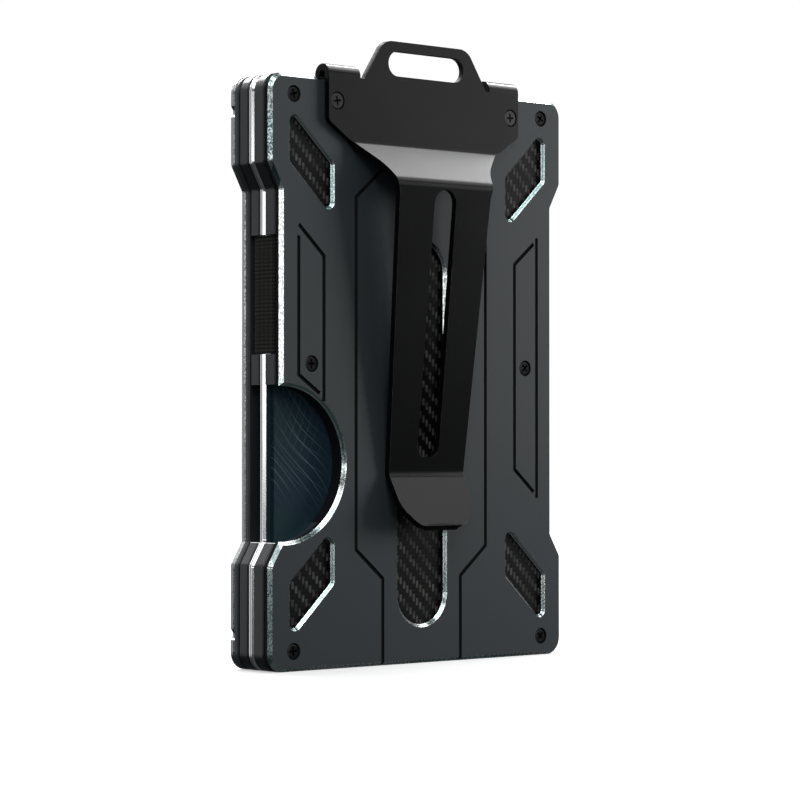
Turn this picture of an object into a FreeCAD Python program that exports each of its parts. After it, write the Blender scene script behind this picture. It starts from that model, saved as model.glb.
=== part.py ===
import FreeCAD, Part

import math
import os
from types import SimpleNamespace

import Sketcher

# A minimalist card wallet that stands on its lower edge: two milled covers on inner plates, a bright
# divider with one bank card in front of it, two elastic straps, and a sprung steel money clip.
#
# Frame, in millimetres: +Z up the height, -Y out of the front (clip) side, origin under the middle of
# the whole wallet. Every sub-part is drawn in a face frame, where y = 0 is the outer face of its own
# cover and +y goes into the wallet. Front parts are then only moved, and rear parts are turned half
# way round Z as well.

DIMENSIONS = {
    # Outline shared by all the plates
    "half_width": 30.6,
    "waist_half_width": 28.44,
    "plate_height": 90,
    "ear_height": 15.93,
    "waist_low": 19.53,
    "waist_high": 72.54,
    "ear_top_low": 76.5,
    "corner_radius": 2.7,
    "waist_radius": 1.08,
    # Layers, measured in from the front face
    "cover_thick": 1.26,
    "front_land_depth": 1.53,
    "divider_depth": 3.951,
    "divider_thick": 1.278,
    "stack_depth": 9.9,
    "slide_gap": 0.04,
    "land_inset": 1.08,
    "rear_land_depth": 2.61,
    "backing_depth": 2.25,
    "plate_bevel": 0.198,
    "divider_bevel": 0.378,
    "cover_bevel": 0.54,
    "cover_back_bevel": 0.18,
    # Windows and their carbon inlays
    "window_left": 26.865,
    "window_right": 17.91,
    "window_top": 85.5,
    "window_drop": 8.37,
    "window_side": 8.865,
    "window_bevel": 0.45,
    "window_radius": 0.765,
    "center_half_width": 5.265,
    "center_low": 5.58,
    "center_high": 66.24,
    "inlay_thick": 0.45,
    "bond_gap": 0.02,
    # Machined grooves
    "groove_width": 0.63,
    "groove_depth": 0.36,
    "long_groove_x": 13.59,
    "foot_groove_x": 8.145,
    "long_groove_low": 18,
    "foot_groove_high": 13.41,
    "side_groove_x": 24.975,
    "inner_groove_x": 20.025,
    # Heights of the grooves beside the strap and the notch: upright rails, and sweeps that bend away
    "left_rail_high": 65.61,
    "left_rail_low": 44.64,
    "left_rail_foot": 41.85,
    "left_rail_gap": 0.81,
    "left_sweep_high": 67.32,
    "left_sweep_bend": 62.73,
    "left_sweep_low": 40.68,
    "right_rail_high": 67.5,
    "right_rail_low": 25.38,
    "right_sweep_gap": 0.675,
    "right_sweep_high": 66.51,
    "right_sweep_bend_high": 63,
    "right_sweep_bend_low": 30.06,
    "right_sweep_low": 26.37,
    # Thumb notch, a step wider in the inner plates
    "notch_step": 0.22,
    "notch_x": 27.72,
    "notch_z": 31.23,
    "notch_radius": 11.7,
    # Screws
    "corner_screw_x": 25.92,
    "corner_screw_inset": 3.06,
    "middle_screw_x": 22.41,
    "middle_screw_z": 46.35,
    "bore_radius": 1.278,
    "head_radius": 1.08,
    "head_sink": 0.108,
    "head_thick": 0.495,
    "shank_radius": 0.675,
    "screw_reach": 2.7,
    "clip_screw_x": 18.18,
    "clip_screw_z": 86.4,
    "clip_bore_radius": 1.404,
    "clip_head_radius": 1.35,
    "cross_arm": 0.7,
    "cross_blade": 0.153,
    "cross_depth": 0.36,
    # Elastic straps and their pins
    "strap_low": 47.79,
    "strap_width": 17.91,
    "strap_thick": 0.765,
    "strap_web_x": 27.36,
    "strap_leg": 5.04,
    "strap_room": 0.06,
    "pin_radius": 0.36,
    "pin_length": 17.64,
    # Bank card (ID-1), which lies against the left strap in a recess with room all round
    "card_x": -0.25,
    "card_side_room": 0.2,
    "card_foot_room": 0.1,
    "card_width": 53.98,
    "card_height": 85.6,
    "card_thick": 0.76,
    "card_low": 2.2,
    "card_corner": 3.18,
    "card_room": 0.05,
    # Money clip; the relief makes up for what rounding its shoulder takes off the stand-off
    "clip_stand": 5.76,
    "shoulder_relief": 0.06,
    "sheet_thick": 1.035,
    "flange_half_width": 19.89,
    "flange_low": 83.34,
    "fold_inner_x": 13.59,
    "fold_center_z": 90.405,
    "leaf_low": 83.34,
    "leaf_room": 0.1,
    "relief_depth": 0.135,
    "loop_foot_run": 0.45,
    "loop_foot_rise": 0.81,
    "loop_base_half": 12.2,
    "loop_top_half": 8.7,
    "loop_top": 96.48,
    "loop_radius": 3.0,
    "loop_slot_half": 7.88,
    "loop_slot_low": 91.08,
    "loop_slot_high": 94.95,
    "bend_z": 80.28,
    "bend_gap": 0.108,
    "bend_radius": 0.99,
    "shoulder_z": 74.61,
    "heel_z": 29.43,
    "heel_stand": -0.03,
    "tip_z": 21.6,
    "tip_stand": 5.04,
    "heel_radius": 1.98,
    "tip_radius": 1.44,
    # Half widths of the arm, and where they are: it flares in a curve from its narrow top to the bend
    "flare_half": 15.21,
    "flare_knee_half": 10.44,
    "flare_knee_z": 76.14,
    "arm_top_half": 9.495,
    "arm_top_z": 72.54,
    "heel_half": 7.74,
    "tip_side_half": 7.605,
    "tip_side_rise": 4.14,
    "tip_corner_half": 6.93,
    "tip_corner_rise": 1.8,
    "tip_half": 4.32,
    "tip_trim": 0.27,
    "arm_slot_radius": 2.295,
    "arm_slot_low": 31.95,
    "arm_slot_high": 73.62,
    # Cord nicks in the rear cover's long edges
    "nick_radius": 0.855,
    "nick_z": 5.355,
}

doc = FreeCAD.newDocument("MinimalistWallet")


class Length:
    """A size that knows its value in millimetres and its formula in terms of the sheet."""

    def __init__(self, value, formula):
        self.value = value
        self.formula = formula

    def __add__(self, other):
        other = as_length(other)
        return Length(self.value + other.value, f"({self.formula} + {other.formula})")

    def __sub__(self, other):
        other = as_length(other)
        return Length(self.value - other.value, f"({self.formula} - {other.formula})")

    def __rsub__(self, other):
        return as_length(other) - self

    def __mul__(self, factor):
        return Length(self.value * factor, f"({self.formula} * ({factor:.9f}))")

    def __neg__(self):
        return self * -1.0


def as_length(number):
    """Wrap a plain number, so that it can be added to a Length."""
    if isinstance(number, Length):
        return number
    return Length(float(number), f"({float(number):.6f})")


def make_sheet():
    """Write the driving dimensions into the sheet and return them as Lengths."""
    sheet = doc.addObject("Spreadsheet::Sheet", "Dimensions")
    for row, (alias, value) in enumerate(DIMENSIONS.items(), start=1):
        sheet.set(f"A{row}", alias)
        sheet.set(f"B{row}", str(value))
        sheet.setAlias(f"B{row}", alias)
    doc.recompute()
    return SimpleNamespace(**{
        alias: Length(value, f"Dimensions.{alias}") for alias, value in DIMENSIONS.items()})


D = make_sheet()
ZERO = as_length(0.0)
FACE_Y = (D.clip_stand - D.stack_depth) * 0.5
STACK_BACK_Y = (D.clip_stand + D.stack_depth) * 0.5
BEYOND = as_length(2.0)
COVER_TURNS = (17.0, 41.0)
CLIP_TURNS = (8.0, -4.0)


# ---- Sketching -------------------------------------------------------------------------------

def place_point(geometry, point, x, z):
    """Return the two constraints that hold a point, each with the formula that drives it."""
    return [
        (Sketcher.Constraint("DistanceX", -1, 1, geometry, point, x.value), x.formula),
        (Sketcher.Constraint("DistanceY", -1, 1, geometry, point, z.value), z.formula),
    ]


def add_driven(sketch, driven):
    """Add constraints that each follow a formula."""
    first = sketch.ConstraintCount
    sketch.addConstraint([constraint for constraint, _ in driven])
    for number, (_, formula) in enumerate(driven, start=first):
        sketch.setExpression(f"Constraints[{number}]", formula)


def draw_loop(sketch, corners):
    """Draw a closed loop of straight sides through the corners."""
    first = sketch.GeometryCount
    count = len(corners)
    points = [FreeCAD.Vector(x.value, z.value, 0.0) for x, z in corners]
    sketch.addGeometry([
        Part.LineSegment(points[index], points[(index + 1) % count]) for index in range(count)])
    sketch.addConstraint([
        Sketcher.Constraint("Coincident", first + index, 2, first + (index + 1) % count, 1)
        for index in range(count)])
    driven = []
    for index, (x, z) in enumerate(corners):
        driven += place_point(first + index, 1, x, z)
    add_driven(sketch, driven)


def draw_circle(sketch, x, z, radius):
    """Draw a circle."""
    number = sketch.addGeometry(
        Part.Circle(FreeCAD.Vector(x.value, z.value, 0.0), FreeCAD.Vector(0, 0, 1), radius.value))
    sized = [(Sketcher.Constraint("Radius", number, radius.value), radius.formula)]
    add_driven(sketch, place_point(number, 3, x, z) + sized)


def draw_slot(sketch, start, finish, radius):
    """Draw a round-ended slot between the centres of its two ends."""
    centers = [FreeCAD.Vector(x.value, z.value, 0.0) for x, z in (start, finish)]
    along = (centers[1] - centers[0]).normalize()
    turn = math.atan2(along.y, along.x)
    side = FreeCAD.Vector(-along.y, along.x, 0.0) * radius.value
    up = FreeCAD.Vector(0, 0, 1)
    first = sketch.GeometryCount
    near_end = Part.ArcOfCircle(
        Part.Circle(centers[0], up, radius.value), turn + math.pi / 2, turn + math.pi * 1.5)
    far_end = Part.ArcOfCircle(
        Part.Circle(centers[1], up, radius.value), turn - math.pi / 2, turn + math.pi / 2)
    sketch.addGeometry([
        near_end,
        Part.LineSegment(centers[0] - side, centers[1] - side),
        far_end,
        Part.LineSegment(centers[1] + side, centers[0] + side),
    ])
    sketch.addConstraint([
        Sketcher.Constraint("Tangent", first + index, 2, first + (index + 1) % 4, 1)
        for index in range(4)])
    sketch.addConstraint(Sketcher.Constraint("Equal", first, first + 2))
    sized = [(Sketcher.Constraint("Radius", first, radius.value), radius.formula)]
    add_driven(sketch, place_point(first, 3, *start) + place_point(first + 2, 3, *finish) + sized)


def miter(before, here, after):
    """Return the shift that moves both sides of a corner one millimetre to their left."""
    first = (here - before).normalize()
    second = (after - here).normalize()
    normals = [FreeCAD.Vector(-side.y, side.x, 0.0) for side in (first, second)]
    return (normals[0] + normals[1]) * (1.0 / (1.0 + normals[0].dot(normals[1])))


def shifted(corners, amount, closed=True):
    """Shift a chain of corners sideways, to the left for a positive amount."""
    points = [FreeCAD.Vector(x.value, z.value, 0.0) for x, z in corners]
    last = len(points) - 1
    moved = []
    for index, (x, z) in enumerate(corners):
        before = points[index - 1]
        after = points[(index + 1) % len(points)]
        if not closed and index == 0:
            before = points[0] * 2.0 - points[1]
        if not closed and index == last:
            after = points[last] * 2.0 - points[last - 1]
        step = miter(before, points[index], after)
        moved.append((x + amount * step.x, z + amount * step.y))
    return moved


def ribbon(path, width):
    """Return the loop around a bent line of constant width."""
    left = shifted(path, width * 0.5, closed=False)
    right = shifted(path, width * -0.5, closed=False)
    return left + right[::-1]


def mirrored(corners, over_x=True, over_z=False):
    """Mirror corners over the wallet's upright middle line, its level middle line, or both."""
    result = []
    for x, z in corners:
        result.append((-x if over_x else x, D.plate_height - z if over_z else z))
    return result


# ---- Features --------------------------------------------------------------------------------

def new_body(name):
    """Start a sub-part."""
    body = doc.addObject("PartDesign::Body", name)
    body.Label = name
    body.AllowCompound = True
    return body


def new_sketch(body, name, depth, role="XZ_Plane"):
    """Start a sketch on one of the body's origin planes, moved along the plane's normal.

    On XZ_Plane the depth is measured along +y, against the plane's normal.
    """
    sketch = body.newObject("Sketcher::SketchObject", f"{body.Name}_{name}")
    plane = next(item for item in body.Origin.OriginFeatures if item.Role == role)
    sketch.AttachmentSupport = [(plane, "")]
    sketch.MapMode = "FlatFace"
    offset = -depth if role == "XZ_Plane" else depth
    sketch.setExpression("AttachmentOffset.Base.z", offset.formula)
    return sketch


def pad(body, sketch, length, reverse=True):
    """Grow a solid from a sketch; on XZ_Plane a reversed pad grows along +y."""
    feature = body.newObject("PartDesign::Pad", f"{sketch.Name}_pad")
    feature.Profile = sketch
    feature.Reversed = reverse
    feature.setExpression("Length", length.formula)
    sketch.Visibility = False
    doc.recompute()
    return feature


def pocket(body, sketch, length, reverse=False):
    """Cut a sketch into the solid; on XZ_Plane a pocket cuts along +y, and a reversed one along -y."""
    volume_before = body.Shape.Volume
    feature = body.newObject("PartDesign::Pocket", f"{sketch.Name}_cut")
    feature.Profile = sketch
    feature.Reversed = reverse
    feature.setExpression("Length", length.formula)
    sketch.Visibility = False
    doc.recompute()
    if body.Shape.Volume > volume_before - 1e-4:
        raise RuntimeError(f"{feature.Name} cuts nothing")
    return feature


def dress(body, kind, name, edges, size):
    """Add a fillet or a chamfer to the named edges of the body's tip."""
    if not edges:
        raise RuntimeError(f"{body.Name}_{name} has no edges")
    base = body.Tip
    feature = body.newObject(f"PartDesign::{kind}", f"{body.Name}_{name}")
    feature.Base = (base, edges)
    feature.setExpression("Radius" if kind == "Fillet" else "Size", size.formula)
    doc.recompute()
    return feature


def edges_through(body, corners):
    """Name the straight edges along y that stand on the given corners."""
    spots = [(x.value, z.value) for x, z in corners]
    names = []
    for number, edge in enumerate(body.Shape.Edges, start=1):
        ends = [vertex.Point for vertex in edge.Vertexes]
        if len(ends) != 2 or abs(ends[0].y - ends[1].y) < 0.05:
            continue
        if abs(ends[0].x - ends[1].x) > 1e-4 or abs(ends[0].z - ends[1].z) > 1e-4:
            continue
        if any(math.hypot(ends[0].x - x, ends[0].z - z) < 1e-3 for x, z in spots):
            names.append(f"Edge{number}")
    return names


def edges_across(body, corners):
    """Name the straight edges along x that run through the given (y, z) corners."""
    spots = [(y.value, z.value) for y, z in corners]
    names = []
    for number, edge in enumerate(body.Shape.Edges, start=1):
        box = edge.BoundBox
        if box.YLength > 1e-4 or box.ZLength > 1e-4:
            continue
        if any(math.hypot(box.YMin - y, box.ZMin - z) < 1e-3 for y, z in spots):
            names.append(f"Edge{number}")
    return names


def rim_edges(body, depth, outer):
    """Name the edges around the flat face at a depth: its outer rim, or the rims of its holes."""
    shape = body.Shape
    wanted = []
    for face in shape.Faces:
        box = face.BoundBox
        if box.YLength > 1e-4 or abs(box.YMin - depth.value) > 1e-4:
            continue
        for wire in face.Wires:
            if wire.isSame(face.OuterWire) == outer:
                wanted += wire.Edges
    return [f"Edge{number}" for number, edge in enumerate(shape.Edges, start=1)
            if any(edge.isSame(other) for other in wanted)]


def place_front(body):
    """Move a front part from the face frame to its place."""
    body.setExpression("Placement.Base.y", FACE_Y.formula)


def place_rear(body):
    """Turn a rear part half way round Z and move it to its place."""
    body.Placement = FreeCAD.Placement(
        FreeCAD.Vector(0, 0, 0), FreeCAD.Rotation(FreeCAD.Vector(0, 0, 1), 180))
    body.setExpression("Placement.Base.y", STACK_BACK_Y.formula)


# ---- Shared outlines -------------------------------------------------------------------------

def ear_corners():
    """Return the outer corners of one long side, from the foot to the top."""
    return [
        (D.half_width, ZERO),
        (D.half_width, D.ear_height),
        (D.waist_half_width, D.waist_low),
        (D.waist_half_width, D.waist_high),
        (D.half_width, D.ear_top_low),
        (D.half_width, D.plate_height),
    ]


def plate_outline():
    """Return the plate outline, anticlockwise from its right foot."""
    right = ear_corners()
    return right + mirrored(right)[::-1]


def corner_window():
    """Return the upper left window's parallelogram at its rim, anticlockwise."""
    low = D.window_top - D.window_side
    return [
        (-D.window_left, D.window_top),
        (-D.window_left, low),
        (-D.window_right, low - D.window_drop),
        (-D.window_right, D.window_top - D.window_drop),
    ]


def corner_windows(inset):
    """Return the four corner windows by name, drawn in from their rims."""
    inner = shifted(corner_window(), inset)
    return {
        "top_left": inner,
        "top_right": mirrored(inner),
        "bottom_left": mirrored(inner, over_x=False, over_z=True),
        "bottom_right": mirrored(inner, over_z=True),
    }


def center_window(inset):
    """Return the middle window's two end centres and its radius."""
    radius = D.center_half_width - inset
    low = D.center_low + D.center_half_width
    high = D.center_high - D.center_half_width
    return (ZERO, low), (ZERO, high), radius


def cover_screw_places():
    """Return the places of a cover's six screws."""
    top = D.plate_height - D.corner_screw_inset
    return [
        (-D.corner_screw_x, top),
        (D.corner_screw_x, top),
        (-D.corner_screw_x, D.corner_screw_inset),
        (D.corner_screw_x, D.corner_screw_inset),
        (-D.middle_screw_x, D.middle_screw_z),
        (D.middle_screw_x, D.middle_screw_z),
    ]


def clip_screw_places():
    """Return the places of the clip's two screws."""
    return [(-D.clip_screw_x, D.clip_screw_z), (D.clip_screw_x, D.clip_screw_z)]


def groove_paths():
    """Return the centre lines of the grooves that frame the middle of a cover."""
    foot = [
        (D.long_groove_x, D.plate_height * 0.5),
        (D.long_groove_x, D.long_groove_low),
        (D.foot_groove_x, D.foot_groove_high),
        (D.foot_groove_x, ZERO - BEYOND),
    ]
    head = mirrored(foot, over_x=False, over_z=True)
    side = foot[::-1] + head[1:]
    return [side, mirrored(side)]


def side_groove_paths():
    """Return the centre lines of the grooves beside the strap and the thumb notch."""
    left_sweep = [
        (-D.side_groove_x, D.left_sweep_high),
        (-D.inner_groove_x, D.left_sweep_bend),
        (-D.inner_groove_x, D.left_sweep_low),
    ]
    left_rail = [
        (-D.side_groove_x, D.left_rail_high),
        (-D.side_groove_x, D.left_rail_low),
        (-D.inner_groove_x - D.left_rail_gap, D.left_rail_foot),
    ]
    right_rail = [
        (D.side_groove_x, D.right_rail_high),
        (D.side_groove_x, D.right_rail_low),
    ]
    right_sweep = [
        (D.side_groove_x - D.right_sweep_gap, D.right_sweep_high),
        (D.inner_groove_x, D.right_sweep_bend_high),
        (D.inner_groove_x, D.right_sweep_bend_low),
        (D.side_groove_x - D.right_sweep_gap, D.right_sweep_low),
    ]
    return [left_sweep, left_rail, right_rail, right_sweep]


# ---- Plates ----------------------------------------------------------------------------------

def plate_blank(body, depth, thick, bevel):
    """Pad the shared outline, round its corners and bevel both rims."""
    sketch = new_sketch(body, "outline", depth)
    draw_loop(sketch, plate_outline())
    pad(body, sketch, thick)
    ears = [ear_corners()[0], ear_corners()[-1]]
    bends = ear_corners()[1:-1]
    dress(body, "Fillet", "corners", edges_through(body, ears + mirrored(ears)), D.corner_radius)
    dress(body, "Fillet", "waist", edges_through(body, bends + mirrored(bends)), D.waist_radius)
    if bevel is not None:
        rims = rim_edges(body, depth, True) + rim_edges(body, depth + thick, True)
        dress(body, "Chamfer", "bevels", rims, bevel)


def cut_circles(body, name, places, radius, depth, length):
    """Cut round holes from a depth inwards."""
    sketch = new_sketch(body, name, depth)
    for x, z in places:
        draw_circle(sketch, x, z, radius)
    pocket(body, sketch, length)


def cut_box(body, name, low, high, depth, length):
    """Cut a rectangular pocket from a depth inwards."""
    sketch = new_sketch(body, name, depth)
    draw_loop(sketch, [low, (high[0], low[1]), high, (low[0], high[1])])
    pocket(body, sketch, length)


def bevel_notch(body):
    """Cut the cone that bevels the thumb notch's rim."""
    cone = body.newObject("PartDesign::SubtractiveCone", f"{body.Name}_notch_bevel")
    plane = next(item for item in body.Origin.OriginFeatures if item.Role == "XZ_Plane")
    cone.AttachmentSupport = [(plane, "")]
    cone.MapMode = "FlatFace"
    outside = D.cover_bevel + BEYOND
    cone.setExpression("AttachmentOffset.Base.x", (-D.notch_x).formula)
    cone.setExpression("AttachmentOffset.Base.y", D.notch_z.formula)
    cone.setExpression("AttachmentOffset.Base.z", (-D.cover_bevel).formula)
    cone.setExpression("Radius1", D.notch_radius.formula)
    cone.setExpression("Radius2", (D.notch_radius + outside).formula)
    cone.setExpression("Height", outside.formula)
    doc.recompute()


def make_cover(name, has_clip_side):
    """Make one milled cover; the clip side has the thumb notch, the rear one the cord nicks."""
    body = new_body(name)
    plate_blank(body, ZERO, D.cover_thick, None)
    dress(body, "Chamfer", "outer_bevel", rim_edges(body, ZERO, True), D.cover_bevel)
    dress(body, "Chamfer", "back_bevel", rim_edges(body, D.cover_thick, True), D.cover_back_bevel)
    if has_clip_side:
        notch = [(-D.notch_x, D.notch_z)]
        cut_circles(body, "notch", notch, D.notch_radius, -BEYOND, D.cover_thick + BEYOND + BEYOND)
        bevel_notch(body)
    else:
        nicks = [(D.half_width, D.nick_z), (D.half_width, D.plate_height - D.nick_z)]
        places = nicks + mirrored(nicks)
        cut_circles(body, "nicks", places, D.nick_radius, -BEYOND, D.cover_thick + BEYOND + BEYOND)

    windows = corner_windows(D.window_bevel)
    sketch = new_sketch(body, "windows", ZERO)
    for corners in windows.values():
        draw_loop(sketch, corners)
    draw_slot(sketch, *center_window(D.window_bevel))
    pocket(body, sketch, D.cover_thick)
    all_corners = [corner for corners in windows.values() for corner in corners]
    dress(body, "Fillet", "window_corners", edges_through(body, all_corners), D.window_radius)
    dress(body, "Chamfer", "window_bevels", rim_edges(body, ZERO, False), D.window_bevel)

    cut_circles(body, "bores", cover_screw_places(), D.bore_radius, ZERO, D.head_sink + D.head_thick)
    shanks = cover_screw_places() + (clip_screw_places() if has_clip_side else [])
    cut_circles(body, "shank_holes", shanks, D.shank_radius, ZERO, D.cover_thick)

    for group, paths in (("long", groove_paths()), ("side", side_groove_paths())):
        sketch = new_sketch(body, f"{group}_grooves", ZERO)
        for path in paths:
            draw_loop(sketch, ribbon(path, D.groove_width))
        pocket(body, sketch, D.groove_depth)
    return body


def strap_room(side):
    """Return the corners, low and high, of the room that a strap needs at one long side."""
    inner = D.strap_web_x - D.strap_room
    low = D.strap_low - D.strap_room
    high = D.strap_low + D.strap_width + D.strap_room
    outer = D.waist_half_width + BEYOND
    return (inner * side, low), (outer * side, high)


def cut_strap_edges(body, depth, length):
    """Cut the shallow recess for the straps in both long edges of a plate."""
    for side, label in ((-1.0, "left"), (1.0, "right")):
        low, high = strap_room(side)
        cut_box(body, f"strap_edge_{label}", low, high, depth, length)


def cut_strap_pockets(body, depth, length):
    """Cut the pockets where the strap ends and their pins lie under a cover."""
    for side, label in ((-1.0, "left"), (1.0, "right")):
        low, high = strap_room(side)
        inner = D.strap_web_x - D.strap_leg - D.pin_radius * 2.0 - D.strap_room
        cut_box(body, f"strap_pocket_{label}", (inner * side, low[1]), high, depth, length)


def add_land(body, depth, land_depth):
    """Raise the inset land that keeps a plate's rim off the layer outside it."""
    sketch = new_sketch(body, "land", depth)
    draw_loop(sketch, shifted(plate_outline(), D.land_inset))
    pad(body, sketch, land_depth - depth)


def make_front_inner_plate():
    """Make the plate behind the front cover, with the card's recess in its back."""
    body = new_body("front_inner_plate")
    back = D.divider_depth - D.slide_gap
    plate_blank(body, D.front_land_depth, back - D.front_land_depth, D.plate_bevel)
    add_land(body, D.cover_thick, D.front_land_depth)
    notch = [(-D.notch_x, D.notch_z)]
    cut_circles(body, "notch", notch, D.notch_radius + D.notch_step, ZERO, back + BEYOND)

    recess_depth = back - D.card_thick - D.card_room * 2.0
    half = D.card_width * 0.5 + D.card_side_room
    top = D.plate_height + BEYOND
    low = D.card_low - D.card_foot_room
    cut_box(body, "card_recess", (D.card_x - half, low), (D.card_x + half, top), recess_depth, BEYOND)

    pocket_depth = D.strap_thick + D.strap_room * 2.0
    land_height = D.front_land_depth - D.cover_thick
    cut_strap_edges(body, D.cover_thick, back)
    cut_strap_pockets(body, D.cover_thick, land_height + pocket_depth)
    for side, label in ((-1.0, "left"), (1.0, "right")):
        near = (D.fold_inner_x - D.leaf_room) * side
        far = (D.flange_half_width + D.leaf_room) * side
        low = D.leaf_low - D.leaf_room
        length = D.sheet_thick + D.strap_room
        cut_box(body, f"leaf_pocket_{label}", (near, low), (far, top), D.cover_thick, length)
    holes = cover_screw_places() + clip_screw_places()
    reach = D.screw_reach - D.cover_thick
    cut_circles(body, "screw_holes", holes, D.shank_radius, D.cover_thick, reach)
    place_front(body)
    return body


def make_divider():
    """Make the bright plate between the two shells."""
    body = new_body("divider_plate")
    plate_blank(body, D.divider_depth, D.divider_thick, D.divider_bevel)
    cut_strap_edges(body, D.cover_thick, D.stack_depth)
    place_front(body)
    return body


def make_rear_inner_plate():
    """Make the plate behind the divider, drawn in the rear cover's face frame."""
    body = new_body("rear_inner_plate")
    front = D.stack_depth - D.divider_depth - D.divider_thick - D.slide_gap
    plate_blank(body, D.rear_land_depth, front - D.rear_land_depth, D.plate_bevel)
    add_land(body, D.backing_depth, D.rear_land_depth)
    notch = [(D.notch_x, D.notch_z)]
    cut_circles(body, "notch", notch, D.notch_radius + D.notch_step, ZERO, front + BEYOND)
    land_height = D.rear_land_depth - D.backing_depth
    pocket_depth = D.strap_thick + D.strap_room * 2.0
    cut_strap_edges(body, D.backing_depth, front)
    cut_strap_pockets(body, D.backing_depth, land_height + pocket_depth)
    reach = D.screw_reach - D.backing_depth
    cut_circles(body, "screw_holes", cover_screw_places(), D.shank_radius, D.backing_depth, reach)
    place_rear(body)
    return body


def make_rear_backing_plate():
    """Make the thin plate under the rear cover."""
    body = new_body("rear_backing_plate")
    thick = D.backing_depth - D.cover_thick
    plate_blank(body, D.cover_thick, thick, D.plate_bevel)
    cut_circles(body, "screw_holes", cover_screw_places(), D.shank_radius, D.cover_thick, thick)
    place_rear(body)
    return body


# ---- Inlays ----------------------------------------------------------------------------------

def make_inlays(prefix, place):
    """Make the five carbon inlays of one cover, each bonded in its own window."""
    inset = D.window_bevel + D.bond_gap
    depth = D.cover_thick - D.inlay_thick
    for name, corners in corner_windows(inset).items():
        body = new_body(f"{prefix}_inlay_{name}")
        sketch = new_sketch(body, "outline", depth)
        draw_loop(sketch, corners)
        pad(body, sketch, D.inlay_thick)
        radius = D.window_radius - D.bond_gap
        dress(body, "Fillet", "corners", edges_through(body, corners), radius)
        place(body)
    body = new_body(f"{prefix}_inlay_center")
    sketch = new_sketch(body, "outline", depth)
    draw_slot(sketch, *center_window(inset))
    pad(body, sketch, D.inlay_thick)
    place(body)


# ---- Screws ----------------------------------------------------------------------------------

def cross_corners(x, z, turn):
    """Return the loop of a cross recess about a screw's centre, turned by an angle in degrees."""
    arm = D.cross_arm
    blade = D.cross_blade
    quarter = [(arm, -blade), (arm, blade), (blade, blade)]
    corners = []
    for step in range(4):
        angle = math.radians(turn + 90.0 * step)
        cosine = math.cos(angle)
        sine = math.sin(angle)
        for along, across in quarter:
            corners.append((x + along * cosine - across * sine, z + along * sine + across * cosine))
    return corners


def make_screws(name, places, head_radius, head_depth, turns, place):
    """Make a set of cross-head screws: flat heads, plain shanks and cross recesses.

    The first cross is turned by the first angle in degrees, and each further one by the second more.
    """
    body = new_body(name)
    sketch = new_sketch(body, "heads", head_depth)
    for x, z in places:
        draw_circle(sketch, x, z, head_radius)
    pad(body, sketch, D.head_thick)
    tops = rim_edges(body, head_depth, True)
    dress(body, "Chamfer", "head_bevels", tops, D.cover_back_bevel)
    sketch = new_sketch(body, "shanks", head_depth + D.head_thick)
    for x, z in places:
        draw_circle(sketch, x, z, D.shank_radius)
    pad(body, sketch, D.screw_reach - head_depth - D.head_thick)
    sketch = new_sketch(body, "crosses", head_depth)
    for index, (x, z) in enumerate(places):
        draw_loop(sketch, cross_corners(x, z, turns[0] + turns[1] * index))
    pocket(body, sketch, D.cross_depth)
    place(body)
    return body


# ---- Straps, pins and card -------------------------------------------------------------------

def strap_span():
    """Return the depths, from the front face, between which a strap runs."""
    front = D.front_land_depth + D.strap_room
    back = D.stack_depth - D.rear_land_depth - D.strap_room
    return front, back


def make_strap(name, side):
    """Make one elastic strap: a flat web at the long edge and two legs under the covers."""
    body = new_body(name)
    front, back = strap_span()
    web = D.strap_web_x
    skin = D.strap_web_x + D.strap_thick
    leg = D.strap_web_x - D.strap_leg
    outline = [
        (leg, front),
        (skin, front),
        (skin, back),
        (leg, back),
        (leg, back - D.strap_thick),
        (web, back - D.strap_thick),
        (web, front + D.strap_thick),
        (leg, front + D.strap_thick),
    ]
    sketch = new_sketch(body, "section", D.strap_low, "XY_Plane")
    draw_loop(sketch, [(x * side, y) for x, y in outline])
    pad(body, sketch, D.strap_width, reverse=False)
    place_front(body)
    return body


def make_pins(name, depth, place):
    """Make the two pins that hold a shell's strap ends."""
    body = new_body(name)
    low = D.strap_low + (D.strap_width - D.pin_length) * 0.5
    sketch = new_sketch(body, "section", low, "XY_Plane")
    across = D.strap_web_x - D.strap_leg - D.pin_radius
    for side in (-1.0, 1.0):
        draw_circle(sketch, across * side, depth, D.pin_radius)
    pad(body, sketch, D.pin_length, reverse=False)
    place(body)
    return body


def make_card():
    """Make the bank card in the recess of the front inner plate."""
    body = new_body("bank_card")
    depth = D.divider_depth - D.slide_gap - D.card_room - D.card_thick
    left = D.card_x - D.card_width * 0.5
    right = D.card_x + D.card_width * 0.5
    top = D.card_low + D.card_height
    corners = [(left, D.card_low), (right, D.card_low), (right, top), (left, top)]
    sketch = new_sketch(body, "outline", depth)
    draw_loop(sketch, corners)
    pad(body, sketch, D.card_thick)
    dress(body, "Fillet", "corners", edges_through(body, corners), D.card_corner)
    place_front(body)
    return body


# ---- Money clip ------------------------------------------------------------------------------

def flange_corners():
    """Return the right half of the clip's flange and lanyard loop, from the bend upwards."""
    fold_low = D.fold_center_z - D.relief_depth
    return [
        (D.flare_half, D.bend_z),
        (D.flange_half_width, D.flange_low),
        (D.flange_half_width, D.fold_center_z),
        (D.fold_inner_x, D.fold_center_z),
        (D.fold_inner_x, fold_low),
        (D.loop_base_half + D.loop_foot_run, fold_low),
        (D.loop_base_half, fold_low + D.loop_foot_rise),
        (D.loop_top_half, D.loop_top),
    ]


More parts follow.
